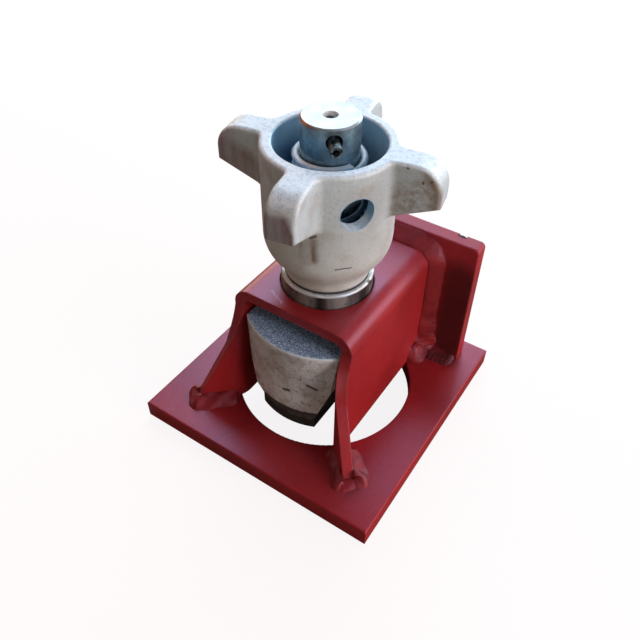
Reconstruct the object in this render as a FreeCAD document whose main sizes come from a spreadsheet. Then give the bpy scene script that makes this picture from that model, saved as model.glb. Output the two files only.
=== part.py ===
import FreeCAD, Part
import math
import os

import Sketcher

# Container twistlock, standing on its base plate as it does on the bench.
# Units are millimetres. The origin is on the lock's axis, at the underside of the base plate.
# +Z is up along the lock's axis, -Y is the open mouth of the housing, +Y is the rear plate.

os.makedirs("parts", exist_ok=True)
doc = FreeCAD.newDocument("twistlock")

# ---------------------------------------------------------------- driving dimensions

SIZES = [
    # base plate and rear plate
    ("plate_width", 150.0, "width of the base plate"),
    ("plate_front", 77.0, "distance from the axis to the base plate's front edge"),
    ("plate_rear", 75.0, "distance from the axis to the base plate's rear edge"),
    ("plate_thick", 11.0, "thickness of the base plate"),
    ("plate_hole", 104.0, "diameter of the hole that the lock head passes"),
    ("back_width", 124.0, "width of the rear plate"),
    ("back_height", 87.0, "height of the rear plate above the base plate"),
    ("back_thick", 9.5, "thickness of the rear plate"),
    ("back_corner", 3.0, "corner radius at the top of the rear plate"),
    ("nick_x", 48.5, "place of the nick in the rear plate's upper edge"),
    ("nick_radius", 2.4, "radius of that nick"),
    ("nick_deep", 3.4, "depth of that nick from the back"),
    ("edge_round", 0.8, "rounding of cut plate edges"),
    # housing channel
    ("wall_thick", 6.0, "thickness of the channel's plate"),
    ("channel_width", 73.5, "outside width of the channel"),
    ("channel_height", 78.6, "height of the channel above the base plate"),
    ("channel_rear", 56.4, "distance from the axis to the rear plate"),
    ("web_front", 33.75, "distance from the axis to the web's front edge"),
    ("bend_inside", 4.0, "inside radius of the channel's two bends"),
    ("fold_inside", 10.35, "radius inside the fold of a flared foot"),
    ("flare_angle", 47.0, "angle by which a foot turns outwards"),
    ("foot_reach", 25.3, "length of a foot along the base plate"),
    ("mouth_drop", 11.6, "distance from the web down to where the sloped front edge starts"),
    ("fold_drop", 37.6, "distance from the web down to that edge at the end of the fold"),
    # welds
    ("weld_leg", 6.5, "leg of a foot weld"),
    ("seam_leg", 8.0, "leg of the weld round the channel's rear edge"),
    ("small_leg", 2.4, "leg of the welds at the bush and at the spindle's foot"),
    ("weld_gap", 3.0, "distance that a weld stops short of an open edge"),
    # guide bush
    ("bush_dia", 49.2, "outside diameter of the guide bush"),
    ("bush_rise", 8.0, "height of the bush above the web"),
    ("bush_seat", 3.0, "depth of the seat that takes the nut's neck"),
    ("flange_dia", 62.0, "diameter of the flange under the web"),
    ("flange_flats", 51.6, "width across the flange's two flats, between the channel's bends"),
    ("flange_thick", 3.5, "thickness of that flange"),
    ("hole_gap", 0.7, "radial gap between the bush and the hole in the web"),
    ("seat_gap", 0.3, "radial gap between the nut's neck and its seat"),
    ("slide_fit", 0.1, "radial clearance of the spindle in its bores"),
    ("fixed_fit", 0.02, "radial clearance of parts that are pinned or welded together"),
    # lock head
    ("head_length", 89.6, "length of the lock head"),
    ("head_width", 59.2, "width of the lock head at its shoulder"),
    ("head_waist", 52.4, "width where the flats steepen"),
    ("head_nose", 35.2, "width of the nose"),
    ("head_top", 73.8, "height of the shoulder"),
    ("waist_height", 45.0, "height where the flats steepen"),
    ("round_height", 29.0, "height where the round ends start to draw in"),
    ("nose_height", 20.4, "height of the nose's upper edge"),
    ("head_bottom", 13.0, "height of the nose's end"),
    ("nose_draw", 2.8, "how far the round ends draw in"),
    ("shoulder_edge", 1.0, "rounding of the shoulder's edges"),
    # spindle and pin
    ("shaft_dia", 28.0, "diameter of the spindle"),
    ("shaft_top", 184.0, "height of the spindle's end"),
    ("tail_dia", 24.0, "diameter of the spindle's tail in the head"),
    ("tail_length", 40.0, "length of that tail"),
    ("shaft_chamfer", 0.8, "chamfer on the spindle's end"),
    ("centre_dia", 7.2, "diameter of the centre hole"),
    ("centre_deep", 6.0, "depth of the centre hole"),
    ("pin_hole", 7.6, "diameter of the cross hole"),
    ("pin_height", 177.8, "height of the cross hole"),
    ("pin_dia", 5.6, "diameter of the spring pin"),
    ("pin_length", 42.0, "length of the spring pin"),
    ("pin_wall", 1.1, "wall of the spring pin"),
    ("pin_slit", 1.0, "width of the slit in the spring pin"),
    ("pin_turn", -50.0, "direction of the spring pin, from +X"),
    # wing nut
    ("neck_dia", 42.8, "diameter of the nut's neck where it meets the bush"),
    ("neck_top_dia", 47.0, "diameter of the neck where it meets the cup"),
    ("neck_height", 10.0, "height of the neck above the seat"),
    ("neck_round", 12.0, "radius between the neck and the cup"),
    ("cup_dia", 65.4, "outside diameter of the cup"),
    ("cup_bore", 53.2, "inside diameter of the cup"),
    ("cup_rim", 172.2, "height of the cup's rim"),
    ("cup_floor", 120.0, "height of the cup's floor"),
    ("cup_shoulder", 117.0, "height where the cup's cone would meet its wall"),
    ("cup_round", 20.0, "radius round the bottom of the cup"),
    ("floor_round", 4.0, "radius between the cup's floor and its wall"),
    ("rim_round", 1.4, "rounding of the cup's rim"),
    ("wing_reach", 55.5, "distance from the axis to the end of a wing"),
    ("wing_thick", 15.0, "thickness of a wing"),
    ("wing_nose", 13.0, "radius at the top of a wing's end"),
    ("wing_bottom", 152.6, "height of the lower corner of a wing"),
    ("wing_rake", 24.0, "angle by which a wing's lower edge falls towards the cup"),
    ("wing_round", 2.2, "rounding of a wing's edges"),
    ("wing_root", 4.0, "radius where a wing meets the cup"),
    ("wing_turn", 11.0, "direction of the first wing, from +X"),
    ("bar_hole", 16.5, "diameter of the hole for a bar"),
    ("bar_height", 151.8, "height of that hole"),
    # spring
    ("washer_dia", 40.0, "diameter of the spring's seat washer"),
    ("washer_thick", 2.0, "thickness of that washer"),
    ("wire_dia", 3.4, "diameter of the spring's wire"),
    ("spring_gap", 0.35, "radial gap between the spindle and the spring"),
    ("spring_top", 166.4, "height of the spring's ground end"),
    ("spring_pitch", 10.0, "distance between the spring's coils"),
]

sheet = doc.addObject("Spreadsheet::Sheet", "Sizes")
for row, (alias, value, meaning) in enumerate(SIZES, start=1):
    sheet.set(f"A{row}", alias)
    sheet.set(f"B{row}", str(value))
    sheet.set(f"C{row}", meaning)
    sheet.setAlias(f"B{row}", alias)
doc.recompute()


def size(expression):
    """The number that an expression of the sheet's aliases gives, in millimetres or degrees."""
    value = sheet.evalExpression(expression)
    return float(getattr(value, "Value", value))


ALIASES = sorted((alias for alias, _, _ in SIZES), key=len, reverse=True)


def linked(expression):
    """The same expression with each alias read from the sheet, for use in another object."""
    words, word = [], ""
    for letter in expression + " ":
        if letter.isalnum() or letter == "_":
            word += letter
            continue
        words.append(f"Sizes.{word}" if word in ALIASES else word)
        words.append(letter)
        word = ""
    return "".join(words).strip()


def in_mm(expression):
    """The linked expression as a length."""
    return f"({linked(expression)}) * 1 mm"


def in_degrees(expression):
    """The linked expression as an angle."""
    return f"({linked(expression)}) * 1 deg"


# heights and distances that follow from the driving dimensions
WEB_TOP = "(plate_thick + channel_height)"
WEB_UNDER = "(plate_thick + channel_height - wall_thick)"
BUSH_TOP = "(plate_thick + channel_height + bush_rise)"
NECK_SEAT = "(plate_thick + channel_height + bush_rise - bush_seat)"
WALL_OUT = "(channel_width / 2)"
WALL_IN = "(channel_width / 2 - wall_thick)"
MOUTH_TOP = "(channel_height - mouth_drop)"
FOLD_LOW = "(channel_height - fold_drop)"
FOLD_RUN = "(fold_inside * tan(flare_angle / 2 * 1 deg))"
FOLD_FRONT = f"(web_front + {FOLD_RUN})"
BACK_FRONT = "channel_rear"
BACK_REAR = "(channel_rear + back_thick)"

# ---------------------------------------------------------------- how the pieces are drawn


def new_body(label, x="0", y="0", z="0", turn="0"):
    """A body with its own name and place; turn is about the lock's axis."""
    body = doc.addObject("PartDesign::Body", label)
    body.Label = label
    for path, expression in (("x", x), ("y", y), ("z", z)):
        body.setExpression(f"Placement.Base.{path}", in_mm(expression))
    body.Placement.Rotation = FreeCAD.Rotation(FreeCAD.Vector(0, 0, 1), size(turn))
    body.setExpression("Placement.Rotation.Angle", in_degrees(turn))
    return body


def new_sketch(body, name, plane, offset="0", x="0", turn="0"):
    """A sketch on one of the body's own origin planes.

    It is moved along the plane's normal and its first axis, and turned about its second axis.
    """
    sketch = body.newObject("Sketcher::SketchObject", name)
    support = [f for f in body.Origin.OriginFeatures if f.Role == plane][0]
    sketch.AttachmentSupport = [(support, "")]
    sketch.MapMode = "FlatFace"
    sketch.AttachmentOffset = FreeCAD.Placement(
        FreeCAD.Vector(0, 0, 0), FreeCAD.Rotation(FreeCAD.Vector(0, 1, 0), 1.0))
    sketch.setExpression("AttachmentOffset.Rotation.Angle", in_degrees(turn))
    sketch.setExpression("AttachmentOffset.Base.x", in_mm(x))
    sketch.setExpression("AttachmentOffset.Base.z", in_mm(offset))
    return sketch


def fix_point(sketch, curve, end, x, y):
    """Tie one point of a sketch to the origin by expressions for its two coordinates."""
    for kind, expression, axis in (("DistanceX", x, -2), ("DistanceY", y, -1)):
        value = size(expression)
        if expression == "0":
            sketch.addConstraint(Sketcher.Constraint("PointOnObject", curve, end, axis))
            continue
        number = sketch.addConstraint(Sketcher.Constraint(kind, -1, 1, curve, end, value))
        sketch.setExpression(f"Constraints[{number}]", linked(expression))


def draw_outline(sketch, corners):
    """A closed outline of straight lines through corners given as pairs of expressions."""
    spots = [FreeCAD.Vector(size(x), size(y), 0) for x, y in corners]
    first = sketch.GeometryCount
    count = len(spots)
    for i in range(count):
        sketch.addGeometry(Part.LineSegment(spots[i], spots[(i + 1) % count]), False)
    for i in range(count):
        following = first + (i + 1) % count
        sketch.addConstraint(Sketcher.Constraint("Coincident", first + i, 2, following, 1))
    for i, (x, y) in enumerate(corners):
        fix_point(sketch, first + i, 1, x, y)


def draw_circle(sketch, radius, x="0", y="0"):
    """A circle whose radius and centre are expressions."""
    centre = FreeCAD.Vector(size(x), size(y), 0)
    circle = sketch.addGeometry(
        Part.Circle(centre, FreeCAD.Vector(0, 0, 1), size(radius)), False)
    number = sketch.addConstraint(Sketcher.Constraint("Radius", circle, size(radius)))
    sketch.setExpression(f"Constraints[{number}]", linked(radius))
    fix_point(sketch, circle, 3, x, y)


def add_pad(body, name, sketch, length, midplane=False, reverse=False, taper=None):
    """Pad a sketch by a length, on both sides of it if midplane is set."""
    pad = body.newObject("PartDesign::Pad", name)
    pad.Profile = sketch
    pad.setExpression("Length", in_mm(length))
    pad.Midplane = midplane
    pad.Reversed = reverse
    if taper is not None:
        pad.setExpression("TaperAngle", linked(taper))
    return pad


def cut_pocket(body, name, sketch, length, midplane=False, reverse=False):
    """Cut a sketch into the body, and stop if it cuts nothing."""
    doc.recompute()
    before = body.Shape.Volume
    pocket = body.newObject("PartDesign::Pocket", name)
    pocket.Profile = sketch
    pocket.setExpression("Length", in_mm(length))
    pocket.Midplane = midplane
    pocket.Reversed = reverse
    doc.recompute()
    if body.Shape.Volume > before - 1e-3:
        raise RuntimeError(f"{name} cuts nothing")
    return pocket


def turn_profile(body, name, corners):
    """Turn an outline of radius and height about the body's own Z axis."""
    sketch = new_sketch(body, name + "_profile", "XZ_Plane")
    draw_outline(sketch, corners)
    turned = body.newObject("PartDesign::Revolution", name)
    turned.Profile = sketch
    turned.ReferenceAxis = (sketch, ["V_Axis"])
    turned.Angle = 360
    return turned


def edges_where(shape, wanted):
    """Names of the edges for which wanted(edge) is true."""
    return [f"Edge{i}" for i, edge in enumerate(shape.Edges, start=1) if wanted(edge)]


def round_edges(body, name, radius, wanted):
    """Fillet the edges of the body's last feature that wanted picks out."""
    doc.recompute()
    base = body.Tip
    names = edges_where(base.Shape, wanted)
    if not names:
        raise RuntimeError(f"{name} finds no edges")
    fillet = body.newObject("PartDesign::Fillet", name)
    fillet.Base = (base, names)
    fillet.setExpression("Radius", in_mm(radius))
    doc.recompute()
    if "Invalid" in fillet.State or not fillet.Shape.isValid():
        raise RuntimeError(f"{name} can't round its edges: {fillet.getStatusString()}")
    return fillet


def mirror_features(body, name, originals, sketch):
    """Repeat features of a body on the other side of the plane X = 0."""
    mirrored = body.newObject("PartDesign::Mirrored", name)
    mirrored.Originals = originals
    mirrored.MirrorPlane = (sketch, ["V_Axis"])
    body.Tip = mirrored
    doc.recompute()
    return mirrored


def near(a, b, tolerance=1e-4):
    """True if two lengths agree."""
    return abs(a - b) < tolerance


def lies_at(edge, axis, value):
    """True if the whole edge lies in the plane where the axis coordinate has this value."""
    box = edge.BoundBox
    low = getattr(box, axis + "Min")
    high = getattr(box, axis + "Max")
    return near(low, value, 1e-3) and near(high, value, 1e-3)


# ---------------------------------------------------------------- base plate

base_plate = new_body("base_plate")
plate_sketch = new_sketch(base_plate, "plate_outline", "XY_Plane")
draw_outline(plate_sketch, [
    ("-plate_width / 2", "-plate_front"), ("plate_width / 2", "-plate_front"),
    ("plate_width / 2", "plate_rear"), ("-plate_width / 2", "plate_rear")])
draw_circle(plate_sketch, "plate_hole / 2")
add_pad(base_plate, "plate_pad", plate_sketch, "plate_thick")
round_edges(base_plate, "plate_edges", "edge_round",
            lambda edge: lies_at(edge, "Z", size("plate_thick")))

# ---------------------------------------------------------------- rear plate

rear_plate = new_body("rear_plate", y=BACK_FRONT, z="plate_thick")
back_sketch = new_sketch(rear_plate, "back_outline", "XZ_Plane")
draw_outline(back_sketch, [("-back_width / 2", "0"), ("back_width / 2", "0"),
                           ("back_width / 2", "back_height"), ("-back_width / 2", "back_height")])
add_pad(rear_plate, "back_pad", back_sketch, "back_thick", reverse=True)
round_edges(rear_plate, "back_corners", "back_corner",
            lambda edge: lies_at(edge, "Z", size("back_height"))
            and (lies_at(edge, "X", size("back_width / 2"))
                 or lies_at(edge, "X", -size("back_width / 2"))))
round_edges(rear_plate, "back_edges", "edge_round",
            lambda edge: (lies_at(edge, "Y", 0) or lies_at(edge, "Y", size("back_thick")))
            and edge.BoundBox.ZMax > 1.0)
nick = new_sketch(rear_plate, "nick_outline", "XZ_Plane", offset="-back_thick")
draw_circle(nick, "nick_radius", x="nick_x", y="back_height")
cut_pocket(rear_plate, "nick_cut", nick, "nick_deep", reverse=True)

# ---------------------------------------------------------------- housing channel

# One plate bent to a channel: a web on top, two walls, and a foot that turns outwards at the
# front of each wall. The fold of a foot starts at the web's front edge, and the front edge of
# the plate runs down through the fold to the end of the foot.
housing = new_body("housing_channel", z="plate_thick")
inner_height = "(channel_height - wall_thick)"
section = new_sketch(housing, "channel_section", "XZ_Plane", offset=FOLD_FRONT)
draw_outline(section, [
    (WALL_OUT, "0"), (WALL_OUT, "channel_height"), ("-" + WALL_OUT, "channel_height"),
    ("-" + WALL_OUT, "0"), ("-" + WALL_IN, "0"), ("-" + WALL_IN, inner_height),
    (WALL_IN, inner_height), (WALL_IN, "0")])
add_pad(housing, "channel_pad", section, FOLD_FRONT + " + channel_rear", reverse=True)


# the plan of a foot: outer face, end, inner face, and the mitre where it joins the wall
along_x, along_y = "sin(flare_angle * 1 deg)", "cos(flare_angle * 1 deg)"
outer_x = f"({WALL_OUT} + foot_reach * {along_x})"
outer_y = f"(-{FOLD_FRONT} - foot_reach * {along_y})"
inner_x = f"({outer_x} - wall_thick * {along_y})"
inner_y = f"({outer_y} - wall_thick * {along_x})"
mitre_y = f"(-{FOLD_FRONT} - wall_thick * tan(flare_angle / 2 * 1 deg))"
foot_plan = new_sketch(housing, "foot_plan", "XY_Plane")
draw_outline(foot_plan, [
    (WALL_OUT, "-" + FOLD_FRONT), (outer_x, outer_y), (inner_x, inner_y),
    (WALL_IN, mitre_y), (WALL_IN, "-" + FOLD_FRONT)])
foot_pad = add_pad(housing, "foot_pad", foot_plan, "channel_height")
mirror_features(housing, "feet", [foot_pad], foot_plan)


def is_corner(edge, first, first_value, second, second_value):
    """True for a straight edge with this distance from the middle on one axis, and this place
    on the other."""
    return lies_at(edge, second, second_value) and (
        lies_at(edge, first, first_value) or lies_at(edge, first, -first_value))


round_edges(housing, "fold_outer_face", "fold_inside",
            lambda edge: is_corner(edge, "X", size(WALL_OUT), "Y", -size(FOLD_FRONT)))

# the front of the web and of the walls above the folds
front_cut = new_sketch(housing, "front_cut", "YZ_Plane")
draw_outline(front_cut, [
    ("-web_front", "channel_height + wall_thick"), ("-web_front", MOUTH_TOP),
    ("-plate_front", MOUTH_TOP), ("-plate_front", "channel_height + wall_thick")])
cut_pocket(housing, "front_cut_pocket", front_cut, "2 * plate_width", midplane=True)
round_edges(housing, "fold_inner_face", "fold_inside + wall_thick",
            lambda edge: is_corner(edge, "X", size(WALL_IN), "Y", size(mitre_y)))

# Through the fold the front edge is a ruled surface that stays square to the plate: it goes from
# the wall at the web's front edge to the end of the fold.
wall_end = new_sketch(housing, "wall_end", "XZ_Plane", offset="web_front")
draw_outline(wall_end, [
    (WALL_OUT + " + 1", MOUTH_TOP), (WALL_OUT + " + 1", "channel_height + 1"),
    (WALL_IN + " - wall_thick / 2", "channel_height + 1"),
    (WALL_IN + " - wall_thick / 2", MOUTH_TOP)])
fold_end = new_sketch(housing, "fold_end", "XZ_Plane", turn="flare_angle",
                      x=f"{WALL_OUT} + {FOLD_RUN} * {along_x}",
                      offset=f"{FOLD_FRONT} + {FOLD_RUN} * {along_y}")
draw_outline(fold_end, [
    ("1", FOLD_LOW), ("1", "channel_height + 1"),
    ("-wall_thick * 1.5", "channel_height + 1"), ("-wall_thick * 1.5", FOLD_LOW)])
fold_cut = housing.newObject("PartDesign::SubtractiveLoft", "fold_cut")
fold_cut.Profile = wall_end
fold_cut.Sections = [fold_end]
fold_cut.Ruled = True

# along the foot it slopes from there to the foot's end
foot_cut = new_sketch(housing, "foot_cut", "XZ_Plane", turn="flare_angle - 90",
                      x=WALL_OUT, offset=FOLD_FRONT)
draw_outline(foot_cut, [
    (FOLD_RUN, FOLD_LOW), ("foot_reach", "0"), ("foot_reach + wall_thick", "0"),
    ("foot_reach + wall_thick", "channel_height + 1"), (FOLD_RUN, "channel_height + 1")])
foot_pocket = cut_pocket(housing, "foot_cut_pocket", foot_cut, "4 * wall_thick", midplane=True)
mirror_features(housing, "feet_cut", [fold_cut, foot_pocket], foot_plan)

round_edges(housing, "bend_outside", "bend_inside + wall_thick",
            lambda edge: is_corner(edge, "X", size(WALL_OUT), "Z", size("channel_height")))
round_edges(housing, "bend_inside", "bend_inside",
            lambda edge: is_corner(edge, "X", size(WALL_IN), "Z", size(inner_height)))

web_hole = new_sketch(housing, "web_hole", "XY_Plane", offset="channel_height + 1")
draw_circle(web_hole, "bush_dia / 2 + hole_gap")
cut_pocket(housing, "web_hole_pocket", web_hole, "wall_thick + 2")

# ---------------------------------------------------------------- guide bush

guide_bush = new_body("guide_bush")
bush_bore = "(shaft_dia / 2 + slide_fit)"
neck_flare = "((neck_top_dia - neck_dia) / 2 * bush_seat / neck_height)"
seat_radius = f"(neck_dia / 2 + {neck_flare} + seat_gap)"
turn_profile(guide_bush, "bush_turned", [
    (bush_bore, f"{WEB_UNDER} - flange_thick"), ("flange_dia / 2", f"{WEB_UNDER} - flange_thick"),
    ("flange_dia / 2", WEB_UNDER), ("bush_dia / 2", WEB_UNDER),
    ("bush_dia / 2", f"{BUSH_TOP} - edge_round"), ("bush_dia / 2 - edge_round", BUSH_TOP),
    (seat_radius, BUSH_TOP), (seat_radius, NECK_SEAT), (bush_bore, NECK_SEAT)])
bush_flats = new_sketch(guide_bush, "bush_flats", "XY_Plane", offset=WEB_UNDER)
for side in ("", "-"):
    draw_outline(bush_flats, [
        (side + "flange_flats / 2", "-flange_dia"), (side + "flange_dia", "-flange_dia"),
        (side + "flange_dia", "flange_dia"), (side + "flange_flats / 2", "flange_dia")])
cut_pocket(guide_bush, "bush_flats_cut", bush_flats, "flange_thick")

# ---------------------------------------------------------------- lock head

lock_head = new_body("lock_head")
tail_bore = "(tail_dia / 2 + fixed_fit)"
turn_profile(lock_head, "head_round", [
    ("0", "head_bottom"), ("head_length / 2 - nose_draw", "head_bottom"),
    ("head_length / 2 - nose_draw", "nose_height"), ("head_length / 2", "round_height"),
    ("head_length / 2", "head_top"), (tail_bore, "head_top"),
    (tail_bore, "head_top - tail_length"), ("0", "head_top - tail_length")])
flats = new_sketch(lock_head, "head_flats", "XZ_Plane")
far = "head_length"
for side in ("", "-"):
    draw_outline(flats, [
        (side + "head_width / 2", "head_top"), (side + "head_waist / 2", "waist_height"),
        (side + "head_nose / 2", "nose_height"), (side + "head_nose / 2", "head_bottom"),
        (side + far, "head_bottom"), (side + far, "head_top")])
cut_pocket(lock_head, "head_flats_cut", flats, "2 * head_length", midplane=True)
round_edges(lock_head, "shoulder_round", "shoulder_edge",
            lambda edge: lies_at(edge, "Z", size("head_top"))
            and edge.BoundBox.DiagonalLength > size("head_width") / 2)

# ---------------------------------------------------------------- spindle

spindle = new_body("spindle")
turn_profile(spindle, "spindle_turned", [
    ("0", "head_top - tail_length + fixed_fit"), ("tail_dia / 2", "head_top - tail_length + fixed_fit"),
    ("tail_dia / 2", "head_top"), ("shaft_dia / 2", "head_top"),
    ("shaft_dia / 2", "shaft_top - shaft_chamfer"), ("shaft_dia / 2 - shaft_chamfer", "shaft_top"),
    ("centre_dia / 2", "shaft_top"), ("centre_dia / 2", "shaft_top - centre_deep"),
    ("0", "shaft_top - centre_deep - centre_dia / 4")])
cross = new_sketch(spindle, "cross_hole", "XZ_Plane")
draw_circle(cross, "pin_hole / 2", y="pin_height")
cut_pocket(spindle, "cross_hole_cut", cross, "2 * shaft_dia", midplane=True)
spindle.Placement.Rotation = FreeCAD.Rotation(FreeCAD.Vector(0, 0, 1), size("pin_turn") + 90)
spindle.setExpression("Placement.Rotation.Angle", in_degrees("pin_turn + 90"))

# ---------------------------------------------------------------- spring pin

# A rolled tube with a slit along it. It rests on the bottom of the cross hole.
pin_drop = "(pin_height - pin_hole / 2 + pin_dia / 2 + fixed_fit)"
spring_pin = new_body("spring_pin", z=pin_drop, turn="pin_turn + 90")
ring = new_sketch(spring_pin, "pin_ring", "XZ_Plane")
draw_circle(ring, "pin_dia / 2")
draw_circle(ring, "pin_dia / 2 - pin_wall")
add_pad(spring_pin, "pin_tube", ring, "pin_length", midplane=True)
slit = new_sketch(spring_pin, "pin_slit_plan", "XZ_Plane")
draw_outline(slit, [("-pin_dia", "-pin_slit / 2"), ("0", "-pin_slit / 2"),
                    ("0", "pin_slit / 2"), ("-pin_dia", "pin_slit / 2")])
cut_pocket(spring_pin, "pin_slit_cut", slit, "2 * pin_length", midplane=True)

# ---------------------------------------------------------------- wing nut

# The wings are drawn first, as a cross, and the cup is turned round them.
wing_nut = new_body("wing_nut", turn="wing_turn")
wing_low = "(wing_bottom - (wing_reach - wing_round) * tan(wing_rake * 1 deg))"
wing = new_sketch(wing_nut, "wing_outline", "XZ_Plane")
draw_outline(wing, [
    ("0", "cup_rim"), ("wing_reach", "cup_rim"), ("wing_reach", "wing_bottom"), ("0", wing_low)])
add_pad(wing_nut, "wing_pad", wing, "wing_thick", midplane=True)
round_edges(wing_nut, "wing_nose_round", "wing_nose",
            lambda edge: lies_at(edge, "X", size("wing_reach"))
            and lies_at(edge, "Z", size("cup_rim")))
wings = wing_nut.newObject("PartDesign::PolarPattern", "wings")
wings.Originals = []
wings.TransformMode = "Whole shape"
wings.Axis = (wing, ["V_Axis"])
wings.Angle = 360
wings.Occurrences = 4
wing_nut.Tip = wings
turn_profile(wing_nut, "cup_outside", [
    ("0", NECK_SEAT), ("neck_dia / 2", NECK_SEAT),
    ("neck_top_dia / 2", f"{NECK_SEAT} + neck_height"), ("cup_dia / 2", "cup_shoulder"),
    ("cup_dia / 2", "cup_rim"), ("0", "cup_rim")])
hollow = new_sketch(wing_nut, "cup_hollow_profile", "XZ_Plane")
draw_outline(hollow, [
    ("0", f"{NECK_SEAT} - 1"), ("shaft_dia / 2 + slide_fit", f"{NECK_SEAT} - 1"),
    ("shaft_dia / 2 + slide_fit", "cup_floor"), ("cup_bore / 2", "cup_floor"),
    ("cup_bore / 2", "cup_rim + 1"), ("0", "cup_rim + 1")])
cup_hollow = wing_nut.newObject("PartDesign::Groove", "cup_hollow")
cup_hollow.Profile = hollow
cup_hollow.ReferenceAxis = (hollow, ["V_Axis"])
cup_hollow.Angle = 360
bar = new_sketch(wing_nut, "bar_hole_plan", "XZ_Plane", turn="45")
draw_circle(bar, "bar_hole / 2", y="bar_height")
cut_pocket(wing_nut, "bar_hole_cut", bar, "cup_dia", reverse=True)


def is_ring(edge, radius, height):
    """True for a circle about the axis with this radius and height."""
    return (lies_at(edge, "Z", height) and hasattr(edge.Curve, "Radius")
            and near(edge.Curve.Radius, radius, 1e-3) and near(edge.Curve.Center.x, 0, 1e-3))


round_edges(wing_nut, "cup_bottom_round", "cup_round",
            lambda edge: is_ring(edge, size("cup_dia / 2"), size("cup_shoulder")))
round_edges(wing_nut, "neck_top_round", "neck_round",
            lambda edge: is_ring(edge, size("neck_top_dia / 2"), size(NECK_SEAT + " + neck_height")))
round_edges(wing_nut, "cup_floor_round", "floor_round",
            lambda edge: is_ring(edge, size("cup_bore / 2"), size("cup_floor")))
def is_wing_root(edge):
    """True for the upright line where a wing's side meets the cup's wall."""
    ends = [math.hypot(point.X, point.Y) for point in edge.Vertexes]
    return (edge.BoundBox.ZLength > size("wing_thick") and edge.Curve.TypeId == "Part::GeomLine"
            and all(near(radius, size("cup_dia / 2"), 1e-3) for radius in ends))


def is_wing_outline(edge):
    """True for an edge round the side of a wing, or for the cup's outer rim between wings."""
    middle = edge.valueAt((edge.FirstParameter + edge.LastParameter) / 2)
    distance = math.hypot(middle.x, middle.y)
    if lies_at(edge, "Z", size("cup_rim")):
        return distance > size("cup_bore / 2") + 0.5
    on_side = near(min(abs(middle.x), abs(middle.y)), size("wing_thick / 2"), 1e-3)
    root_line = edge.BoundBox.ZLength > size("wing_thick") and distance < size("wing_reach") - 1
    return on_side and distance > size("cup_dia / 2") and not root_line


round_edges(wing_nut, "wing_roots", "wing_root", is_wing_root)
round_edges(wing_nut, "wing_edges", "wing_round", is_wing_outline)
round_edges(wing_nut, "rim_inside_round", "rim_round",
            lambda edge: is_ring(edge, size("cup_bore / 2"), size("cup_rim")))

# ---------------------------------------------------------------- spring and its seat

seat_washer = new_body("spring_seat_washer", z="cup_floor")
washer_ring = new_sketch(seat_washer, "washer_ring", "XY_Plane")
draw_circle(washer_ring, "washer_dia / 2")
draw_circle(washer_ring, "shaft_dia / 2 + spring_gap")
add_pad(seat_washer, "washer_pad", washer_ring, "washer_thick")

spring_seat = "(cup_floor + washer_thick)"
spring = new_body("spring")
wire = new_sketch(spring, "wire_section", "XZ_Plane")
draw_circle(wire, "wire_dia / 2", x="shaft_dia / 2 + spring_gap + wire_dia / 2", y=spring_seat)
coil = spring.newObject("PartDesign::AdditiveHelix", "coil")
coil.Profile = wire
coil.ReferenceAxis = (wire, ["V_Axis"])
coil.Mode = "pitch-height-angle"
coil.setExpression("Pitch", in_mm("spring_pitch"))
coil.setExpression("Height", in_mm(f"spring_top - {spring_seat}"))
for end, height, reverse in (("foot", spring_seat, False), ("top", "spring_top", True)):
    ground = new_sketch(spring, f"ground_{end}", "XY_Plane", offset=height)
    draw_circle(ground, "shaft_dia")
    cut_pocket(spring, f"ground_{end}_cut", ground, "wire_dia", reverse=reverse)

# ---------------------------------------------------------------- welds


def trimmed(label, body, *tools):
    """The body less the pieces that it is laid against, so that it seats on them."""
    body.Label = label + "_bead"
    for number, tool in enumerate(tools, start=1):
        cut = doc.addObject("Part::Cut", f"{label}_{number}")
        cut.Base = body
        cut.Tool = tool
        body = cut
    body.Label = label
    return body


FULL = "0.92"   # share of its leg up to which a bead is built, so that it ends in a narrow edge


def foot_weld(label, side):
    """A bead round the three sides of a foot, on the base plate."""
    body = new_body(label, z="plate_thick")
    plan = new_sketch(body, label + "_plan", "XY_Plane")
    corners = [("weld_gap", "-weld_leg"), ("foot_reach + weld_leg", "-weld_leg"),
               ("foot_reach + weld_leg", "wall_thick + weld_leg"),
               ("weld_gap", "wall_thick + weld_leg")]
    draw_outline(plan, [
        (f"{side}({WALL_OUT} + ({along}) * {along_x} - ({inward}) * {along_y})",
         f"-{FOLD_FRONT} - ({along}) * {along_y} - ({inward}) * {along_x}")
        for along, inward in corners])
    add_pad(body, label + "_pad", plan, f"weld_leg * {FULL}", taper="-45")
    return trimmed(label, body, housing)


foot_weld_right = foot_weld("foot_weld_right", "")
foot_weld_left = foot_weld("foot_weld_left", "-")

# the bead round the channel's rear edge, on the rear plate
seam_body = new_body("seam_bead", y=BACK_FRONT, z="plate_thick")
seam_plan = new_sketch(seam_body, "seam_plan", "XZ_Plane")
seam_out, seam_top = f"({WALL_OUT} + seam_leg)", "(channel_height + seam_leg)"
draw_outline(seam_plan, [
    (seam_out, "-seam_leg"), (seam_out, seam_top), ("-" + seam_out, seam_top),
    ("-" + seam_out, "-seam_leg")])
add_pad(seam_body, "seam_pad", seam_plan, f"seam_leg * {FULL}", taper="-45")
round_edges(seam_body, "seam_corners", "bend_inside + wall_thick",
            lambda edge: edge.BoundBox.YLength > size("seam_leg") / 2
            and edge.BoundBox.ZMax > size("channel_height"))
seam_inside = new_sketch(seam_body, "seam_inside", "XZ_Plane")
draw_outline(seam_inside, [
    (WALL_IN, "-2 * seam_leg"), (WALL_IN, inner_height), ("-" + WALL_IN, inner_height),
    ("-" + WALL_IN, "-2 * seam_leg")])
cut_pocket(seam_body, "seam_inside_cut", seam_inside, "4 * seam_leg", midplane=True)
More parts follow.
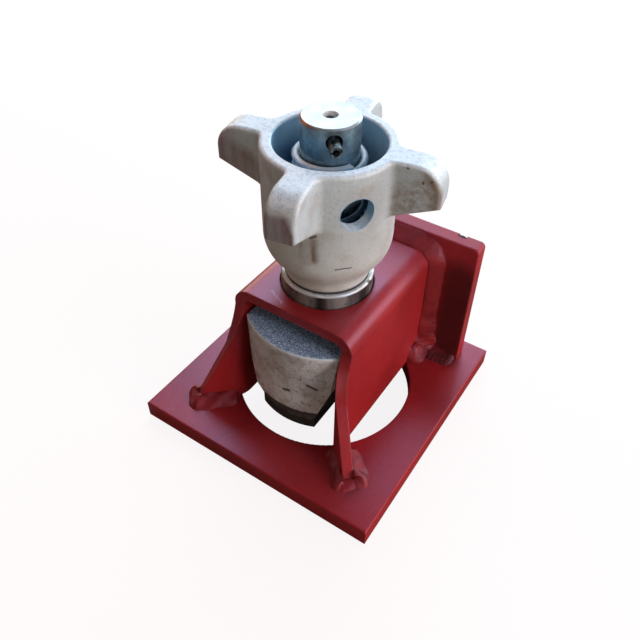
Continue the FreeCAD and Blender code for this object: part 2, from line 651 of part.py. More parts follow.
channel_seam_weld = trimmed("channel_seam_weld", seam_body, housing, base_plate)


def straight_weld(label, plane, leg, start, length, across, height, reverse):
    """A straight bead in the corner of two plates; across and leg give its side and size."""
    body = new_body(label)
    section = new_sketch(body, label + "_section", plane, offset=start)
    sign = "-" if reverse else ""
    draw_outline(section, [
        (across, height), (f"{across} {sign or '+'} {leg}", height),
        (f"{across} {sign or '+'} {leg} * 0.62", f"{height} + {leg} * 0.62"),
        (across, f"{height} + {leg}")])
    add_pad(body, label + "_pad", section, length)
    return body


back_start = f"({WALL_OUT} + seam_leg)"
back_run = f"(back_width / 2 - weld_gap - {back_start})"
straight_weld("rear_plate_weld_right", "YZ_Plane", "weld_leg", back_start, back_run,
              BACK_FRONT, "plate_thick", True)
straight_weld("rear_plate_weld_left", "YZ_Plane", "weld_leg", "-back_width / 2 + weld_gap",
              back_run, BACK_FRONT, "plate_thick", True)
straight_weld("rear_plate_weld_back", "YZ_Plane", "weld_leg", "-back_width / 2 + weld_gap",
              "back_width - 2 * weld_gap", BACK_REAR, "plate_thick", False)

# the walls stand on the base plate again behind the hole
wall_start = f"(sqrt(plate_hole ^ 2 / 4 - {WALL_OUT} ^ 2) + weld_gap)"
wall_run = f"(channel_rear - seam_leg * {FULL} - {wall_start})"
for label, across, reverse in (("wall_weld_right", WALL_OUT, False),
                               ("wall_weld_left", "-" + WALL_OUT, True)):
    straight_weld(label, "XZ_Plane", "weld_leg", f"-{wall_start} - {wall_run}", wall_run,
                  across, "plate_thick", reverse)

# two short beads hold the bush's flange under the web
bead_long = "flange_dia / 4"
for label, across, reverse in (("bush_weld_front", "-flange_dia / 2", True),
                               ("bush_weld_rear", "flange_dia / 2", False)):
    sign = "-" if reverse else "+"
    body = new_body(label)
    bead = new_sketch(body, label + "_section", "YZ_Plane")
    draw_outline(bead, [
        (across, WEB_UNDER), (f"{across} {sign} small_leg", WEB_UNDER),
        (across, f"{WEB_UNDER} - small_leg")])
    add_pad(body, label + "_pad", bead, bead_long, midplane=True)
    trimmed(label, body, guide_bush)

spindle_weld = new_body("spindle_weld")
turn_profile(spindle_weld, "spindle_weld_ring", [
    ("shaft_dia / 2", "head_top"), ("shaft_dia / 2 + small_leg", "head_top"),
    ("shaft_dia / 2", "head_top + small_leg")])

# ---------------------------------------------------------------- check and write

doc.recompute()
failed = [obj.Name for obj in doc.Objects if "Invalid" in obj.State or "Error" in obj.State]
if failed:
    raise RuntimeError(f"these objects failed: {failed}")

beads = [obj for obj in doc.Objects if obj.Label.endswith("_bead")]
cuts = [obj for obj in doc.Objects if obj.TypeId == "Part::Cut" and not obj.InList]
bodies = [obj for obj in doc.Objects
          if obj.TypeId == "PartDesign::Body" and obj not in beads]
for piece in bodies + cuts:
    shape = piece.Shape
    if shape.isNull() or not shape.isValid() or not shape.Solids:
        raise RuntimeError(f"{piece.Label} has no valid solid")
    shape.exportStep(f"parts/{piece.Label}.step")
    box = shape.BoundBox
    print(f"{piece.Label:24s} solids {len(shape.Solids)}  volume {shape.Volume:10.1f}  "
          f"x {box.XMin:.1f} {box.XMax:.1f}  y {box.YMin:.1f} {box.YMax:.1f}  "
          f"z {box.ZMin:.1f} {box.ZMax:.1f}")
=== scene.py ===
import math

import bmesh
import bpy
import numpy as np
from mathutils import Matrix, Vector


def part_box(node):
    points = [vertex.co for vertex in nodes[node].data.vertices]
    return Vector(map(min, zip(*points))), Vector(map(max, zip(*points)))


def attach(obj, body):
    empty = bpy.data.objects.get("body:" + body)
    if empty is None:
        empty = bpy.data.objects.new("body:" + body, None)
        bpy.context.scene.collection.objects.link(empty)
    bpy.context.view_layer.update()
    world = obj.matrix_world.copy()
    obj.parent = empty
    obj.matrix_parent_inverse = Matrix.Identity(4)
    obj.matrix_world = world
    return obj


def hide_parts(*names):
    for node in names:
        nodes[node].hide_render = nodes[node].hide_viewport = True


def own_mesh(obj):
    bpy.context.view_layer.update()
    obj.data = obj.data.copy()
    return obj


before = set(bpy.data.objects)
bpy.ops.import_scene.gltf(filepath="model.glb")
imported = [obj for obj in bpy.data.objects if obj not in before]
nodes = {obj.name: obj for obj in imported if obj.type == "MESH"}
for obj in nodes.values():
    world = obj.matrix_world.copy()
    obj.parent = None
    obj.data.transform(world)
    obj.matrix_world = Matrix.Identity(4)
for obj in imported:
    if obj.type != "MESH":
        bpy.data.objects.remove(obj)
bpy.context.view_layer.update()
MM = 0.001

# ---------------------------------------------------------------- studio
# The twistlock stands on a plain pale floor, in a ring of soft square panels. The cool ones
# behind it give the sheen on all that lies flat, the strong one at its right lights the wall,
# and the weak warm ones at the left and front keep the mouth of the bracket readable.


def srgb(code):
    """A colour from its sRGB hex value, as the linear numbers that shaders and lamps take."""
    parts = [int(code[i:i + 2], 16) / 255 for i in (1, 3, 5)]
    linear = [c / 12.92 if c <= 0.04045 else ((c + 0.055) / 1.055) ** 2.4 for c in parts]
    return (*linear, 1.0)


def add(tree, kind, links=None, **settings):
    """Adds one shader node: its settings, and for each input a value or the socket that feeds it."""
    made = tree.nodes.new("ShaderNode" + kind)
    for name, value in settings.items():
        setattr(made, name, value)
    for name, value in (links or {}).items():
        if isinstance(value, bpy.types.NodeSocket):
            tree.links.new(value, made.inputs[name])
        else:
            made.inputs[name].default_value = value
    return made


def new_material(name):
    """An empty material of that name, and its node tree."""
    material = bpy.data.materials.new(name)
    material.use_nodes = True
    material.node_tree.nodes.clear()
    return material, material.node_tree


def blend_colours(tree, share, first, second):
    """The colour that goes from first to second, each a socket or a hex value, as share does
    from 0 to 1."""
    ends = [srgb(value) if isinstance(value, str) else value for value in (first, second)]
    return add(tree, "Mix", {"Factor": share, 6: ends[0], 7: ends[1]}, data_type="RGBA").outputs[2]


camera_data = bpy.data.cameras.new("camera")
camera_data.lens = 37.489
camera_data.shift_x = -0.01421
camera_data.shift_y = -0.01542
camera_data.clip_start = 0.01
camera = bpy.data.objects.new("camera", camera_data)
camera.location = (0.1452, -0.22874, 0.32314)
camera.rotation_euler = [math.radians(turn) for turn in (46.4375, -1.0419, 33.0953)]
bpy.context.scene.collection.objects.link(camera)
bpy.context.scene.camera = camera
bpy.context.scene.view_settings.view_transform = "Standard"

# square panels, each at an azimuth and a height in degrees, turned to a point within the lock
panel_size, panel_distance, lock_middle = 0.9, 1.6, 0.08
for name, turn, rise, power, colour in (
        ("side_panel", 0, 12, 20.7, "#FFF2EC"), ("side_panel_high", 0, 38, 3.8, "#BED8FF"),
        ("far_panel", 45, 12, 7.4, "#FFFEFF"), ("back_panel", 90, 12, 20.4, "#D2F3FF"),
        ("low_left_panel", 135, 12, 8.7, "#FFF1DD"), ("sky_panel", 122, 45, 13.0, "#CDE6FF"),
        ("left_panel", 180, 38, 4.6, "#FFCFB8"),
        ("brown_panel", 225, 12, 1.4, "#FFB9A0"), ("front_panel", 292, 12, 3.6, "#FFFBE0")):
    turn, rise = math.radians(turn), math.radians(rise)
    lamp_data = bpy.data.lights.new(name, "AREA")
    lamp_data.size = panel_size
    lamp_data.energy = power
    lamp_data.color = srgb(colour)[:3]
    lamp = bpy.data.objects.new(name, lamp_data)
    lamp.location = (panel_distance * math.cos(rise) * math.cos(turn),
                     panel_distance * math.cos(rise) * math.sin(turn),
                     panel_distance * math.sin(rise) + lock_middle)
    lamp.rotation_euler = (math.pi / 2 - rise, 0, turn + math.pi / 2)
    bpy.context.scene.collection.objects.link(lamp)

# the air is a dim blue above and a dim brown near the ground, and white where the camera sees it
world = bpy.data.worlds.new("studio")
world.use_nodes = True
bpy.context.scene.world = world
air = world.node_tree
air.nodes.clear()
aim = add(air, "TexCoord")
height = add(air, "SeparateXYZ", {"Vector": aim.outputs["Generated"]})
rise = add(air, "MapRange", {"Value": height.outputs["Z"], "From Min": 0.0, "From Max": 0.7})
sky = blend_colours(air, rise.outputs[0], "#4A3B33", "#2E3A46")
seen = add(air, "LightPath")
glow = add(air, "Background",
           {"Color": blend_colours(air, seen.outputs["Is Camera Ray"], sky, "#FFFFFF")})
add(air, "OutputWorld", {"Surface": glow.outputs["Background"]})

floor_mesh = bpy.data.meshes.new("floor")
reach, below = 4.0, -0.0004
floor_mesh.from_pydata([(-reach, -reach, below), (reach, -reach, below), (reach, reach, below),
                        (-reach, reach, below)], [], [(0, 1, 2, 3)])
floor = bpy.data.objects.new("floor", floor_mesh)
bpy.context.scene.collection.objects.link(floor)
pale, tree = new_material("pale_floor")
matt = add(tree, "BsdfDiffuse", {"Color": srgb("#6E655F")})
bright = add(tree, "Emission", {"Color": srgb("#F2F0F1"), "Strength": 1.0})
both = add(tree, "AddShader", {0: matt.outputs[0], 1: bright.outputs[0]})
seen = add(tree, "LightPath")
mixed = add(tree, "MixShader", {"Fac": seen.outputs["Is Camera Ray"], 1: matt.outputs[0],
                                2: both.outputs[0]})
add(tree, "OutputMaterial", {"Surface": mixed.outputs[0]})
floor_mesh.materials.append(pale)

# ---------------------------------------------------------------- bracket plates
# The base plate, the bent channel and the rear plate are rolled steel, cut and pressed, then
# welded together and sprayed with one coat of red paint. The film has a fine orange peel, is
# rubbed along cut edges, and is stained by weld smoke at the foot of the rear plate.


def wear(name, material):
    """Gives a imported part's own object this material."""
    nodes[name].data.materials.clear()
    nodes[name].data.materials.append(material)


def ramp(tree, value, low, high, bottom=0.0, top=1.0):
    """A number that goes from bottom to top as value goes from low to high, and no further."""
    return add(tree, "MapRange", {"Value": value, "From Min": low, "From Max": high,
                                  "To Min": bottom, "To Max": top}).outputs[0]


def product(tree, first, second, operation="MULTIPLY"):
    """Two numbers multiplied, or joined by another operation."""
    return add(tree, "Math", {0: first, 1: second}, operation=operation).outputs[0]


def mark(tree, place, start, end, radius, soft=0.5):
    """1 within a capsule of that radius round the line from start to end, in millimetres, and 0
    outside. The distance to the line is that to start plus the clamped share of the line."""
    start, end = np.array(start) * MM, np.array(end) * MM
    way = end - start
    off = add(tree, "VectorMath", {0: place, 1: start.tolist()}, operation="SUBTRACT")
    dot = add(tree, "VectorMath", {0: off.outputs[0], 1: (way / (way @ way)).tolist()},
              operation="DOT_PRODUCT")
    share = add(tree, "Clamp", {"Value": dot.outputs["Value"]})
    along = add(tree, "VectorMath", {0: way.tolist(), "Scale": share.outputs[0]},
                operation="SCALE")
    gap = add(tree, "VectorMath", {0: off.outputs[0], 1: along.outputs[0]}, operation="DISTANCE")
    return ramp(tree, gap.outputs["Value"], radius * MM, radius * soft * MM)


def marks(tree, place, strokes, soft=0.5):
    """The largest of several marks. A stroke is a start, an end and a radius."""
    total = 0.0
    for start, end, radius in strokes:
        total = product(tree, total, mark(tree, place, start, end, radius, soft), "MAXIMUM")
    return total


def shifted(tree, place, scale, distance):
    """The place moved by noise of that scale, by up to half the distance in millimetres, so that
    a mark laid there has a ragged outline."""
    noise = add(tree, "TexNoise", {"Vector": place, "Scale": scale, "Detail": 2.0})
    centred = add(tree, "VectorMath", {0: noise.outputs["Color"], 1: (0.5, 0.5, 0.5)},
                  operation="SUBTRACT")
    moved = add(tree, "VectorMath", {0: centred.outputs[0], "Scale": distance * MM},
                operation="SCALE")
    return add(tree, "VectorMath", {0: place, 1: moved.outputs[0]}).outputs[0]


paint, tree = new_material("sprayed_red_paint")
place = add(tree, "TexCoord").outputs["Object"]
split = add(tree, "SeparateXYZ", {"Vector": place})
true = add(tree, "NewGeometry")
facing = add(tree, "SeparateXYZ", {"Vector": true.outputs["Normal"]})
# clouds about 60 mm across, dust of 2 mm, peel of 1.1 mm and the rolled plate's waves of 11 mm
clouds = add(tree, "TexNoise", {"Vector": place, "Scale": 16.0, "Detail": 3.0, "Roughness": 0.6})
dust = add(tree, "TexNoise", {"Vector": place, "Scale": 480.0, "Detail": 3.0, "Roughness": 0.65})
peel = add(tree, "TexNoise", {"Vector": place, "Scale": 900.0, "Detail": 1.5})
waves = add(tree, "TexNoise", {"Vector": place, "Scale": 90.0, "Detail": 2.0})
tone = blend_colours(tree, ramp(tree, clouds.outputs["Fac"], 0.34, 0.66), "#881818", "#A21F1F")
chalk = ramp(tree, dust.outputs["Fac"], 0.5, 0.78, 0.0, 0.30)
tone = blend_colours(tree, chalk, tone, "#AC4250")
# a rounded normal differs from the true one only within a millimetre of an edge
rounded = add(tree, "Bevel", {"Radius": 0.0010}, samples=6)
turned = add(tree, "VectorMath", {0: rounded.outputs[0], 1: true.outputs["Normal"]},
             operation="DOT_PRODUCT")
edge = ramp(tree, turned.outputs["Value"], 0.985, 0.90)
patch = add(tree, "TexNoise", {"Vector": place, "Scale": 150.0, "Detail": 4.0})
wear_and_painted_light = product(tree, edge, ramp(tree, patch.outputs["Fac"], 0.48, 0.60, 0.0, 0.8))
tone = blend_colours(tree, wear_and_painted_light, tone, "#9C5348")
# weld smoke and spatter at the foot of the rear plate and round the tips of the channel's feet
ragged = shifted(tree, place, 260.0, 5.0)
smoke = product(tree,
                marks(tree, ragged, [((side * 44, 52, 10), (side * 60, 53, 10), 8.0)
                                     for side in (1, -1)], 0.2),
                marks(tree, ragged, [((side * 48, -52, 10), (side * 53, -58, 10), 9.0)
                                     for side in (1, -1)], 0.1), "MAXIMUM")
spatter = product(tree, smoke, ramp(tree, dust.outputs["Fac"], 0.42, 0.56, 0.15, 0.95))
tone = blend_colours(tree, spatter, tone, "#451A16")
# painted shade on the rear plate's front face, beside the seam, where it lies in shade
painted_front_shade = marks(tree, place, [((side * 54, 56.4, 22), (side * 54, 56.4, 74), 17.0)
                           for side in (1, -1)], 0.35)
painted_front_shade = product(tree, painted_front_shade, ramp(tree, facing.outputs["Y"], -0.3, -0.8, 0.0, 0.8))
tone = blend_colours(tree, painted_front_shade, tone, "#2E1A17")
# rust along the base plate's lower edge
rust = product(tree, product(tree, edge, ramp(tree, split.outputs["Z"], 0.0022, 0.0008)),
               ramp(tree, patch.outputs["Fac"], 0.40, 0.55, 0.2, 0.9))
tone = blend_colours(tree, rust, tone, "#96542F")
# a scuff on the web, in front of the bush
scuff = product(tree, mark(tree, shifted(tree, place, 420.0, 1.6), (-18.0, -25.2, 89.6),
                           (-8.2, -30.0, 89.6), 0.9, 0.2),
                ramp(tree, dust.outputs["Fac"], 0.36, 0.55, 0.15, 0.55))
tone = blend_colours(tree, scuff, tone, "#B9A5AE")
# the film is duller towards the back of the web
dull = product(tree, ramp(tree, split.outputs["Y"], 0.012, 0.045),
               ramp(tree, split.outputs["Z"], 0.080, 0.088))
gloss = product(tree, ramp(tree, clouds.outputs["Fac"], 0.3, 0.7, 0.31, 0.41),
                product(tree, dull, 0.22), "ADD")
sag = add(tree, "Bump", {"Height": waves.outputs["Fac"], "Strength": 0.25,
                         "Distance": 0.00035, "Normal": rounded.outputs[0]})
skin = add(tree, "Bump", {"Height": peel.outputs["Fac"], "Strength": 0.5,
                          "Distance": 0.00007, "Normal": sag.outputs[0]})
body = add(tree, "BsdfPrincipled", {"Base Color": tone, "Roughness": gloss,
                                    "Normal": skin.outputs[0], "IOR": 1.7,
                                    "Specular Tint": srgb("#FFCCEE")})
add(tree, "OutputMaterial", {"Surface": body.outputs[0]})
for name in ("base_plate", "housing_channel", "rear_plate"):
    wear(name, paint)

# ---------------------------------------------------------------- bracket welds
# Each bead is laid by hand with a stick electrode, and painted with the plates. It has crescent
# ripples where the pool froze, grows and shrinks along its run, and ends in a rounded crater.
# The beads at the feet are lumpy; the one round the channel is wide and smooth, in two passes.

run_over, tree = new_material("red_paint_over_weld")
place = add(tree, "TexCoord").outputs["Object"]
# the film pools between ripples; pores of 1 mm and smoke in patches of 10 mm
patch = add(tree, "TexNoise", {"Vector": place, "Scale": 100.0, "Detail": 4.0, "Roughness": 0.6})
pores = add(tree, "TexNoise", {"Vector": place, "Scale": 850.0, "Detail": 3.0, "Roughness": 0.6})
tone = blend_colours(tree, ramp(tree, patch.outputs["Fac"], 0.38, 0.66), "#6C1817", "#8A1F1E")
speck = ramp(tree, pores.outputs["Fac"], 0.62, 0.72, 0.0, 0.5)
tone = blend_colours(tree, speck, tone, "#40150F")
ragged = shifted(tree, place, 260.0, 5.0)
smoke = marks(tree, ragged, [((side * 43, 47, 10), (side * 61, 53, 10), 11.0)
                             for side in (1, -1)], 0.3)
smoke = product(tree, smoke, ramp(tree, pores.outputs["Fac"], 0.40, 0.54, 0.2, 0.95))
tone = blend_colours(tree, smoke, tone, "#3E1613")
# the drop in the rear plate's nick is nearly black: painted shade for the nick's shaded inside
nick_dark_shade = mark(tree, place, (48.5, 64, 96), (48.5, 64, 99), 5.0, 0.6)
tone = blend_colours(tree, nick_dark_shade, tone, "#220D0B")
gloss = product(tree, ramp(tree, patch.outputs["Fac"], 0.3, 0.7, 0.38, 0.52),
                product(tree, smoke, 0.3), "ADD")
skin = add(tree, "Bump", {"Height": pores.outputs["Fac"], "Strength": 0.7, "Distance": 0.0002})
body = add(tree, "BsdfPrincipled", {"Base Color": tone, "Roughness": gloss,
                                    "Normal": skin.outputs[0], "IOR": 1.5,
                                    "Specular Tint": srgb("#FFC9EE")})
add(tree, "OutputMaterial", {"Surface": body.outputs[0]})


def wobble(shape, seed, waves_across, waves_along):
    """Smooth unevenness on a grid, from -1 to 1: a sum of a dozen plane waves of random
    direction and phase."""
    rng = np.random.default_rng(seed)
    along, across = np.meshgrid(np.linspace(0, 1, shape[0]), np.linspace(0, 1, shape[1]),
                                indexing="ij")
    total = np.zeros(shape)
    for _ in range(12):
        a, b = rng.uniform(-waves_along, waves_along), rng.uniform(-waves_across, waves_across)
        total += np.sin(2 * math.pi * (a * along + b * across + rng.uniform()))
    return total / 5.0


def new_piece(name, grid, body, material):
    """A mesh object from a grid of points in millimetres (rows along it, columns round it). Each
    row closes on itself; the first and last rows are capped."""
    rows, columns = grid.shape[:2]
    index = np.arange(rows * columns).reshape(rows, columns)
    beside = np.roll(index, -1, axis=1)
    quads = np.stack([index[:-1], beside[:-1], beside[1:], index[1:]], axis=-1)
    faces = quads.reshape(-1, 4).tolist() + [index[0][::-1].tolist(), index[-1].tolist()]
    mesh = bpy.data.meshes.new(name)
    mesh.from_pydata((grid * MM).reshape(-1, 3).tolist(), [], faces)
    shell = bmesh.new()
    shell.from_mesh(mesh)
    bmesh.ops.remove_doubles(shell, verts=shell.verts, dist=1e-7)
    bmesh.ops.recalc_face_normals(shell, faces=shell.faces)
    shell.to_mesh(mesh)
    shell.free()
    mesh.polygons.foreach_set("use_smooth", np.ones(len(mesh.polygons), bool))
    mesh.materials.append(material)
    piece = bpy.data.objects.new(name, mesh)
    bpy.context.scene.collection.objects.link(piece)
    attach(piece, body)
    return piece


def bead(name, node, corner, outward, rise, legs, seed, ripple=1.9, crests=0.05, rough=0.10,
         bulge=1.6, passes=0.0, grit=0.0, coarse_from=None, swell=None):
    """A fillet weld along the line of corner points, in millimetres, that stands for that node.
    Its section runs from a point one leg out on one plate to a point one leg up on the other,
    along (cos^bulge, sin^bulge); 2 is a flat face and 1 a quarter circle. Its size is scaled by
    crescent ripples, by coarse and fine unevenness, by a groove between two passes, by swell
    (one factor for each corner point) and by a quarter circle at each end. Two more points close
    the section inside the plates. Below the height coarse_from the run is rougher."""
    corner, outward, rise = (np.asarray(v, float) for v in (corner, outward, rise))
    # a turn on the spot takes a length of its own, so that the bead wraps round it
    lengths = np.linalg.norm(np.diff(corner, axis=0), axis=1)
    turns = np.linalg.norm(np.diff(outward, axis=0), axis=1) * legs[0] * 0.6
    stations = np.concatenate([[0], np.cumsum(lengths + turns)])
    length = stations[-1]
    row_spacing, section_points, sunk_depth = 0.35, 26, -0.3
    along = np.linspace(0, length, max(12, int(length / row_spacing)))
    corner, outward, rise = (np.stack([np.interp(along, stations, v[:, k]) for k in range(3)], 1)
                             for v in (corner, outward, rise))
    outward /= np.linalg.norm(outward, axis=1)[:, None]
    rise /= np.linalg.norm(rise, axis=1)[:, None]
    angle = np.linspace(0, math.pi / 2, section_points)
    shape = (len(along), section_points)
    weight = np.ones_like(along)
    if coarse_from is not None:
        weight = 0.3 + 1.3 * np.clip((coarse_from - corner[:, 2]) / 25, 0, 1)
    size = 1 + rough * weight[:, None] * wobble(shape, seed, 1.5, length / 9)
    crescent = (along[:, None] + 1.1 * np.cos(2 * angle[None, :] - math.pi / 2)) / ripple
    size += crests * weight[:, None] * (np.abs(np.sin(math.pi * crescent)) ** 0.7 - 0.6)
    size += passes * (np.abs(np.sin(2 * angle - 0.25)) - 0.7)[None, :]
    size += grit * wobble(shape, seed + 1, 5, length / 2.4)
    if swell is not None:
        size *= np.interp(along, stations, swell)[:, None]
    end = np.clip(np.minimum(along, length - along) / (0.8 * min(legs)), 0, 1)
    size *= np.sqrt(np.clip(1 - (1 - end) ** 2, 0.0004, 1))[:, None]
    out = legs[0] * size * np.cos(angle) ** bulge
    up = legs[1] * size * np.sin(angle) ** bulge
    sunk = np.full((len(along), 1), sunk_depth)
    out = np.hstack([out[:, :1], out, sunk, sunk])
    up = np.hstack([sunk, up, up[:, -1:], sunk])
    grid = corner[:, None] + outward[:, None] * out[..., None] + rise[:, None] * up[..., None]
    piece = new_piece(name, grid, "bracket", run_over)
    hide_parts(node)


upwards, downwards = (0, 0, 1), (0, 0, -1)
forwards, backwards = (0, -1, 0), (0, 1, 0)
plate_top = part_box("base_plate")[1].z / MM
web_top, web_under = plate_top + 78.6, plate_top + 72.6
rear_front, rear_back = 56.4, 65.9
sheet, wall_out, bend_radius = 6.0, 36.75, 10.0
# each foot is turned out of its wall by the flare, and ends foot_long past the fold
flare, fold_y, foot_long = math.radians(47.0), -38.25, 25.3
for side, sign, seed, foot_swell in (
        ("right", 1, 31, (1.3, 1.25, 0.85, 0.62, 0.62, 0.7, 0.85, 0.75)),
        ("left", -1, 47, (0.9, 0.9, 0.8, 0.68, 0.68, 0.8, 1.1, 1.0))):
    # round the three sides of a foot, from its outer face round the tip to its inner face
    tip = np.array([math.sin(flare), -math.cos(flare), 0])
    face = np.array([math.cos(flare), math.sin(flare), 0])
    fold = np.array([wall_out, fold_y, plate_top])
    outer = [fold + tip * reach for reach in (4.0, foot_long)]
    inner = [fold + tip * reach - face * sheet for reach in (foot_long, 0.0)]
    lean = np.array(upwards) - tip * 0.42
    line = [outer[0], outer[1], outer[1], outer[1], inner[0], inner[0], inner[0], inner[1]]
    away = [face, face, face + tip, tip, tip, tip - face, -face, -face]
    tall = [upwards, upwards, lean, lean, lean, lean, upwards, upwards]
    flip = np.array([sign, 1, 1])
    bead(f"foot_bead_{side}", f"foot_weld_{side}", line * flip, away * flip, tall * flip,
         (6.8, 5.6), seed, ripple=4.5, crests=0.012, rough=0.09, bulge=1.5, swell=foot_swell)
    # at the foot of the wall, behind the hole
    line = [(sign * wall_out, y, plate_top) for y in (37.5, 58.5)]
    bead(f"wall_bead_{side}", f"wall_weld_{side}", line, [(sign, 0, 0)] * 2, [upwards] * 2,
         (8.2, 10.5), 5 + sign, crests=0.01, bulge=1.5, grit=0.012)
    # at the foot of the rear plate, beside the channel
    line = [(sign * x, rear_front, plate_top) for x in (38.0, 61.0)]
    bead(f"rear_bead_{side}", f"rear_plate_weld_{side}", line, [forwards] * 2, [upwards] * 2,
         (10.5, 4.2), 70 + sign, crests=0.01, bulge=2.0, grit=0.05, swell=(1.0, 0.75))

# round the back edge of the channel: up the left wall, over the web and down the right wall
bend = np.linspace(0, math.pi / 2, 9)
left = [(-wall_out, plate_top - 5, -1, 0), (-wall_out, plate_top + 29, -1, 0)] + [
    (bend_radius - wall_out - bend_radius * math.cos(a),
     web_top - bend_radius + bend_radius * math.sin(a), -math.cos(a), math.sin(a))
    for a in bend]
run = np.array(left + [(-x, z, -ox, oz) for x, z, ox, oz in left[::-1]])
line = np.stack([run[:, 0], np.full(len(run), rear_front), run[:, 1]], 1)
away = np.stack([run[:, 2], np.zeros(len(run)), run[:, 3]], 1)
widths = np.ones(len(run))
widths[[0, -1]] = 1.45
bead("seam_bead", "channel_seam_weld", line, away, [forwards] * len(run), (8.0, 7.6), 12,
     ripple=3.6, crests=0.02, rough=0.08, bulge=1.75, passes=0.10, coarse_from=44.0,
     swell=widths)

# a near-black ellipsoid fills the nick in the rear plate's upper edge: painted shade
nick_x, nick_y, nick_z = 48.5, 63.6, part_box("rear_plate")[1].z / MM - 1.2
turn = np.linspace(0, 2 * math.pi, 24, endpoint=False)
tilt = np.linspace(-math.pi / 2, math.pi / 2, 13)[:, None]
drop = np.stack([nick_x + 3.0 * np.cos(tilt) * np.cos(turn),
                 nick_y + 2.0 * np.cos(tilt) * np.sin(turn),
                 nick_z + 1.5 * np.sin(tilt) + 0 * turn], -1)
new_piece("nick_shade_drop", drop, "bracket", run_over)

# along the back of the rear plate, and under the web round the bush's flange
bead("rear_bead_back", "rear_plate_weld_back", [(x, rear_back, plate_top) for x in (-59, 59)],
     [backwards] * 2, [upwards] * 2, (6.5, 6.5), 21, ripple=2.4, crests=0.04, rough=0.09)
for side, sign, way in (("front", -1, forwards), ("rear", 1, backwards)):
    line = [(x, sign * 31.0, web_under) for x in (-7.75, 7.75)]
    bead(f"bush_bead_{side}", f"bush_weld_{side}", line, [way] * 2, [downwards] * 2,
         (2.4, 2.4), 33 + sign, ripple=1.3)

# ---------------------------------------------------------------- guide bush
# A ring of steel, turned on a lathe and pushed up through the web from below. It is dulled by
# oil and handling, so it shows upright smears; the lip the neck turns in is smoother, with a
# painted highlight.

steel, tree = new_material("oily_turned_steel")
place = add(tree, "TexCoord").outputs["Object"]
# smears 10 mm wide that run up the wall, and lathe rings 0.4 mm apart
upright = add(tree, "Mapping", {"Vector": place, "Scale": (95.0, 95.0, 14.0)})
smears = add(tree, "TexNoise", {"Vector": upright.outputs[0], "Scale": 1.0, "Detail": 3.0})
blots = add(tree, "TexNoise", {"Vector": place, "Scale": 260.0, "Detail": 4.0})
level = add(tree, "Mapping", {"Vector": place, "Scale": (20.0, 20.0, 2400.0)})
lines = add(tree, "TexNoise", {"Vector": level.outputs[0], "Scale": 1.0, "Detail": 2.0})
tone = blend_colours(tree, ramp(tree, smears.outputs["Fac"], 0.38, 0.62), "#242222", "#8A8784")
tone = blend_colours(tree, ramp(tree, blots.outputs["Fac"], 0.58, 0.68, 0.0, 0.6), tone, "#2A2523")
split = add(tree, "SeparateXYZ", {"Vector": place})
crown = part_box("guide_bush")[1].z
# a painted highlight: the lip's top millimetre is painted near-white, and it is also smoother
lip = ramp(tree, split.outputs["Z"], crown - 0.0010, crown - 0.0005)
tone = blend_colours(tree, lip, tone, "#DEDDDC")
# a dark scar runs down the wall from the lip, on the right
scar = mark(tree, place, (24.6, 1.5, 98.0), (24.8, 4.0, 95.5), 1.6)
tone = blend_colours(tree, product(tree, scar, 0.9), tone, "#14110F")
gloss = product(tree, ramp(tree, smears.outputs["Fac"], 0.3, 0.7, 0.48, 0.34),
                product(tree, lip, -0.16), "ADD")
cut = add(tree, "Bump", {"Height": lines.outputs["Fac"], "Strength": 0.4, "Distance": 0.00005})
body = add(tree, "BsdfPrincipled", {"Base Color": tone, "Metallic": 0.35, "Roughness": gloss,
                                    "Normal": cut.outputs[0]})
add(tree, "OutputMaterial", {"Surface": body.outputs[0]})
wear("guide_bush", steel)

# ---------------------------------------------------------------- lock head
# The wedge that enters the corner casting is forged, then hot-dip galvanised: a dull grey skin
# with pits and a few dents, painted blue-white on the upper face as painted sky light, black with
# grease round the nose, and painted dark as painted shade on all that faces down.

forged, tree = new_material("galvanised_forging")
place = add(tree, "TexCoord").outputs["Object"]
split = add(tree, "SeparateXYZ", {"Vector": place})
facing = add(tree, "SeparateXYZ", {"Vector": add(tree, "NewGeometry").outputs["Normal"]})
# grit of 0.6 mm, pits 2.5 mm across, blotches of 9 mm and stains 30 mm across
grit = add(tree, "TexNoise", {"Vector": place, "Scale": 1500.0, "Detail": 4.0, "Roughness": 0.7})
pits = add(tree, "TexNoise", {"Vector": place, "Scale": 380.0, "Detail": 5.0, "Roughness": 0.62})
blotch = add(tree, "TexNoise", {"Vector": place, "Scale": 120.0, "Detail": 4.0, "Roughness": 0.6})
stain = add(tree, "TexNoise", {"Vector": place, "Scale": 40.0, "Detail": 3.0, "Roughness": 0.6})
tone = blend_colours(tree, ramp(tree, stain.outputs["Fac"], 0.36, 0.64), "#BCB6B7", "#E6E6EA")
tone = blend_colours(tree, ramp(tree, blotch.outputs["Fac"], 0.50, 0.66, 0.0, 0.6), tone, "#978A84")
tone = blend_colours(tree, ramp(tree, pits.outputs["Fac"], 0.60, 0.72, 0.0, 0.65), tone, "#D9D9D8")
tone = blend_colours(tree, ramp(tree, pits.outputs["Fac"], 0.42, 0.31, 0.0, 0.8), tone, "#463A31")
tone = blend_colours(tree, ramp(tree, grit.outputs["Fac"], 0.53, 0.66, 0.0, 0.65), tone, "#6E5D55")
# the rounded upper edge is painted near-white: a painted highlight
shoulder_highlight = product(tree, ramp(tree, split.outputs["Z"], 0.0708, 0.0728),
                   ramp(tree, facing.outputs["Z"], 0.98, 0.85))
tone = blend_colours(tree, product(tree, shoulder_highlight, 0.7), tone, "#E6ECF2")
